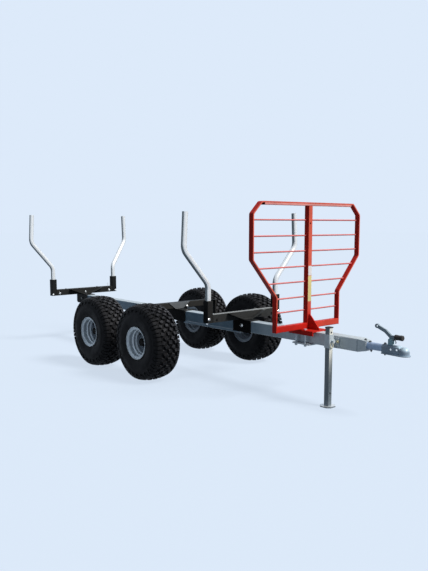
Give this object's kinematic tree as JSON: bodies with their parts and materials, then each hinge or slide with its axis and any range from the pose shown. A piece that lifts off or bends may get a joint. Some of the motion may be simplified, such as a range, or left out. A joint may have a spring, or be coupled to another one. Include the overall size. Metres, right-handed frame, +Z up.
{
  "type": "forestry trailer",
  "caption": "Open log trailer: square main beam, tandem wheels on rocking beams, bent side stakes, barred headboard, parking leg and ball coupling.",
  "frame": {"origin": "on the ground, under the middle of the trailer's overall length and width", "axes": "+X forwards to the ball coupling, +Y to the trailer's left, +Z up"},
  "size_m": [3.7624, 1.282, 1.268],
  "materials": {
    "galvanised": "hot-dip galvanised, satin",
    "black_paint": "satin black paint",
    "red_paint": "gloss red paint",
    "tyre_rubber": "matt black rubber",
    "rim_paint": "silver grey paint",
    "hub_paint": "dark painted casting",
    "bare_steel": "turned steel",
    "zinc_plate": "bright zinc plate",
    "yoke_paint": "dark teal paint",
    "black_plastic": "matt black plastic"
  },
  "bodies": {
    "chassis": {"main_beam": "galvanised", "beam_cap": "galvanised", "front_stakes": "galvanised", "rear_stakes": "galvanised", "axle_bracket": "galvanised", "hangers": "galvanised", "rocker_right": "galvanised", "rocker_left": "galvanised", "hitch_nose": "galvanised", "jack_bracket": "galvanised", "clamp_plate": "galvanised", "front_saddle": "black_paint", "rear_saddle": "black_paint", "axle_saddle": "black_paint", "cross_tube": "black_paint", "front_bunk": "black_paint", "rear_bunk": "black_paint", "front_pockets": "black_paint", "rear_pockets": "black_paint", "head_rim": "red_paint", "head_rail": "red_paint", "head_top_rail": "red_paint", "head_rods": "red_paint", "head_post": "red_paint", "head_foot": "red_paint", "spindles_right": "bare_steel", "spindles_left": "bare_steel", "clamp_bolts": "zinc_plate", "hitch_neck": "zinc_plate", "coupler": "zinc_plate", "hand_lever": "zinc_plate", "lever_yoke": "yoke_paint", "lever_grip": "black_plastic"},
    "wheel_front_right": {"tyre_front_right": "tyre_rubber", "rim_front_right": "rim_paint", "hub_front_right": "hub_paint"},
    "wheel_rear_right": {"tyre_rear_right": "tyre_rubber", "rim_rear_right": "rim_paint", "hub_rear_right": "hub_paint"},
    "wheel_front_left": {"tyre_front_left": "tyre_rubber", "rim_front_left": "rim_paint", "hub_front_left": "hub_paint"},
    "wheel_rear_left": {"tyre_rear_left": "tyre_rubber", "rim_rear_left": "rim_paint", "hub_rear_left": "hub_paint"},
    "jack": {"jack_leg": "galvanised", "jack_foot": "galvanised", "jack_cap": "black_plastic"}
  },
  "joints": [
    {"name": "wheel_front_right_spin", "type": "hinge", "parent": "chassis", "child": "wheel_front_right", "pos_m": [0.0425, -0.53, 0.28], "axis": [0, 1, 0], "continuous": true},
    {"name": "wheel_rear_right_spin", "type": "hinge", "parent": "chassis", "child": "wheel_rear_right", "pos_m": [-0.6155, -0.53, 0.28], "axis": [0, 1, 0], "continuous": true},
    {"name": "wheel_front_left_spin", "type": "hinge", "parent": "chassis", "child": "wheel_front_left", "pos_m": [0.0425, 0.53, 0.28], "axis": [0, 1, 0], "continuous": true},
    {"name": "wheel_rear_left_spin", "type": "hinge", "parent": "chassis", "child": "wheel_rear_left", "pos_m": [-0.6155, 0.53, 0.28], "axis": [0, 1, 0], "continuous": true},
    {"name": "jack_lift", "type": "slide", "parent": "chassis", "child": "jack", "axis": [0, 0, 1], "range_m": [0, 0.33]}
  ]
}
